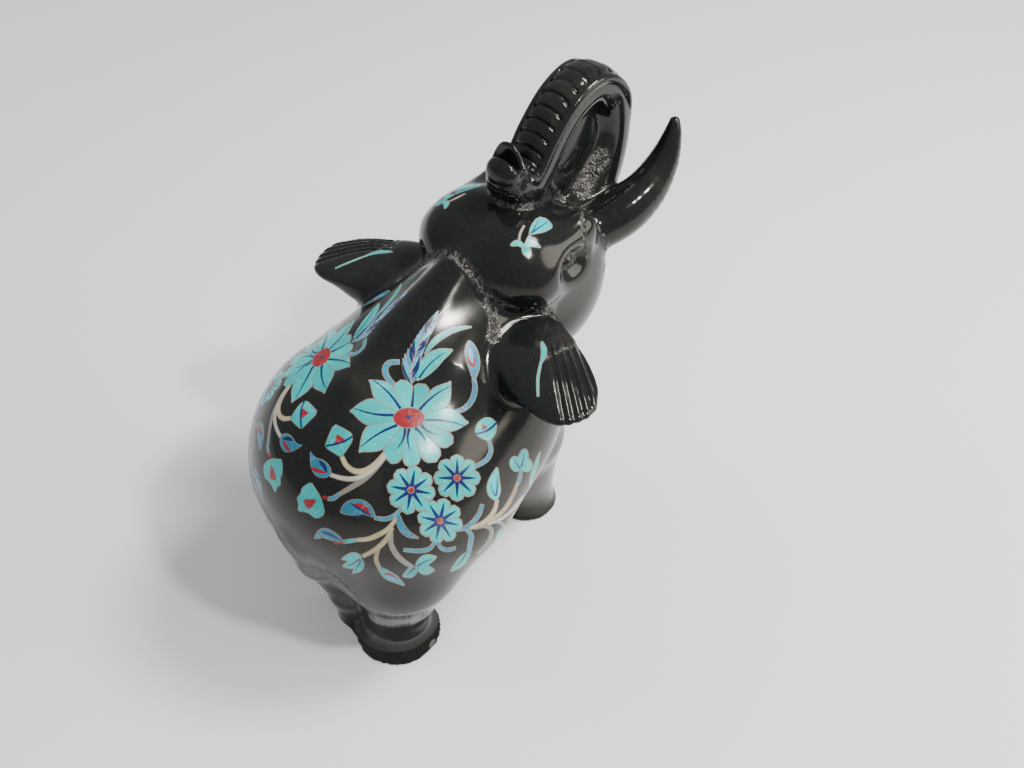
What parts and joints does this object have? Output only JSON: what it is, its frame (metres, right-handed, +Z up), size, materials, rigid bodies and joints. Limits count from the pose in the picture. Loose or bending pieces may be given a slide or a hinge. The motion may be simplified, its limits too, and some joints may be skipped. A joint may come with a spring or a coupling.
{
  "type": "inlaid stone elephant statue",
  "caption": "Polished black stone elephant with raised trunk, tusks and spread ears, carved from one block and inlaid with flush flowers.",
  "frame": {"origin": "middle of the bounding box's bottom face, on the floor between the feet", "axes": "+X towards the head, +Y towards the elephant's left, +Z up"},
  "size_m": [0.2084, 0.146, 0.2109],
  "materials": {
    "black_marble": "polished black marble, faintly mottled",
    "turquoise_stone": "polished turquoise",
    "coral_stone": "polished coral red stone",
    "blue_stone": "polished blue stone"
  },
  "bodies": {
    "root": {"left_bud_1": "turquoise_stone", "left_bud_2": "blue_stone", "left_bud_3": "turquoise_stone", "left_butterfly": "turquoise_stone", "left_flower_heart": "coral_stone", "left_flower_petals": "turquoise_stone", "left_head_leaf": "turquoise_stone", "left_leaf_1": "blue_stone", "left_leaf_2": "turquoise_stone", "left_rosette_1": "turquoise_stone", "left_rosette_2": "turquoise_stone", "left_rosette_3": "turquoise_stone", "marble_elephant": "black_marble", "right_bud_1": "turquoise_stone", "right_bud_2": "blue_stone", "right_bud_3": "turquoise_stone", "right_butterfly": "turquoise_stone", "right_flower_heart": "coral_stone", "right_flower_petals": "turquoise_stone", "right_head_leaf": "turquoise_stone", "right_leaf_1": "blue_stone", "right_leaf_2": "turquoise_stone", "right_rosette_1": "turquoise_stone", "right_rosette_2": "turquoise_stone", "right_rosette_3": "turquoise_stone"}
  },
  "joints": []
}
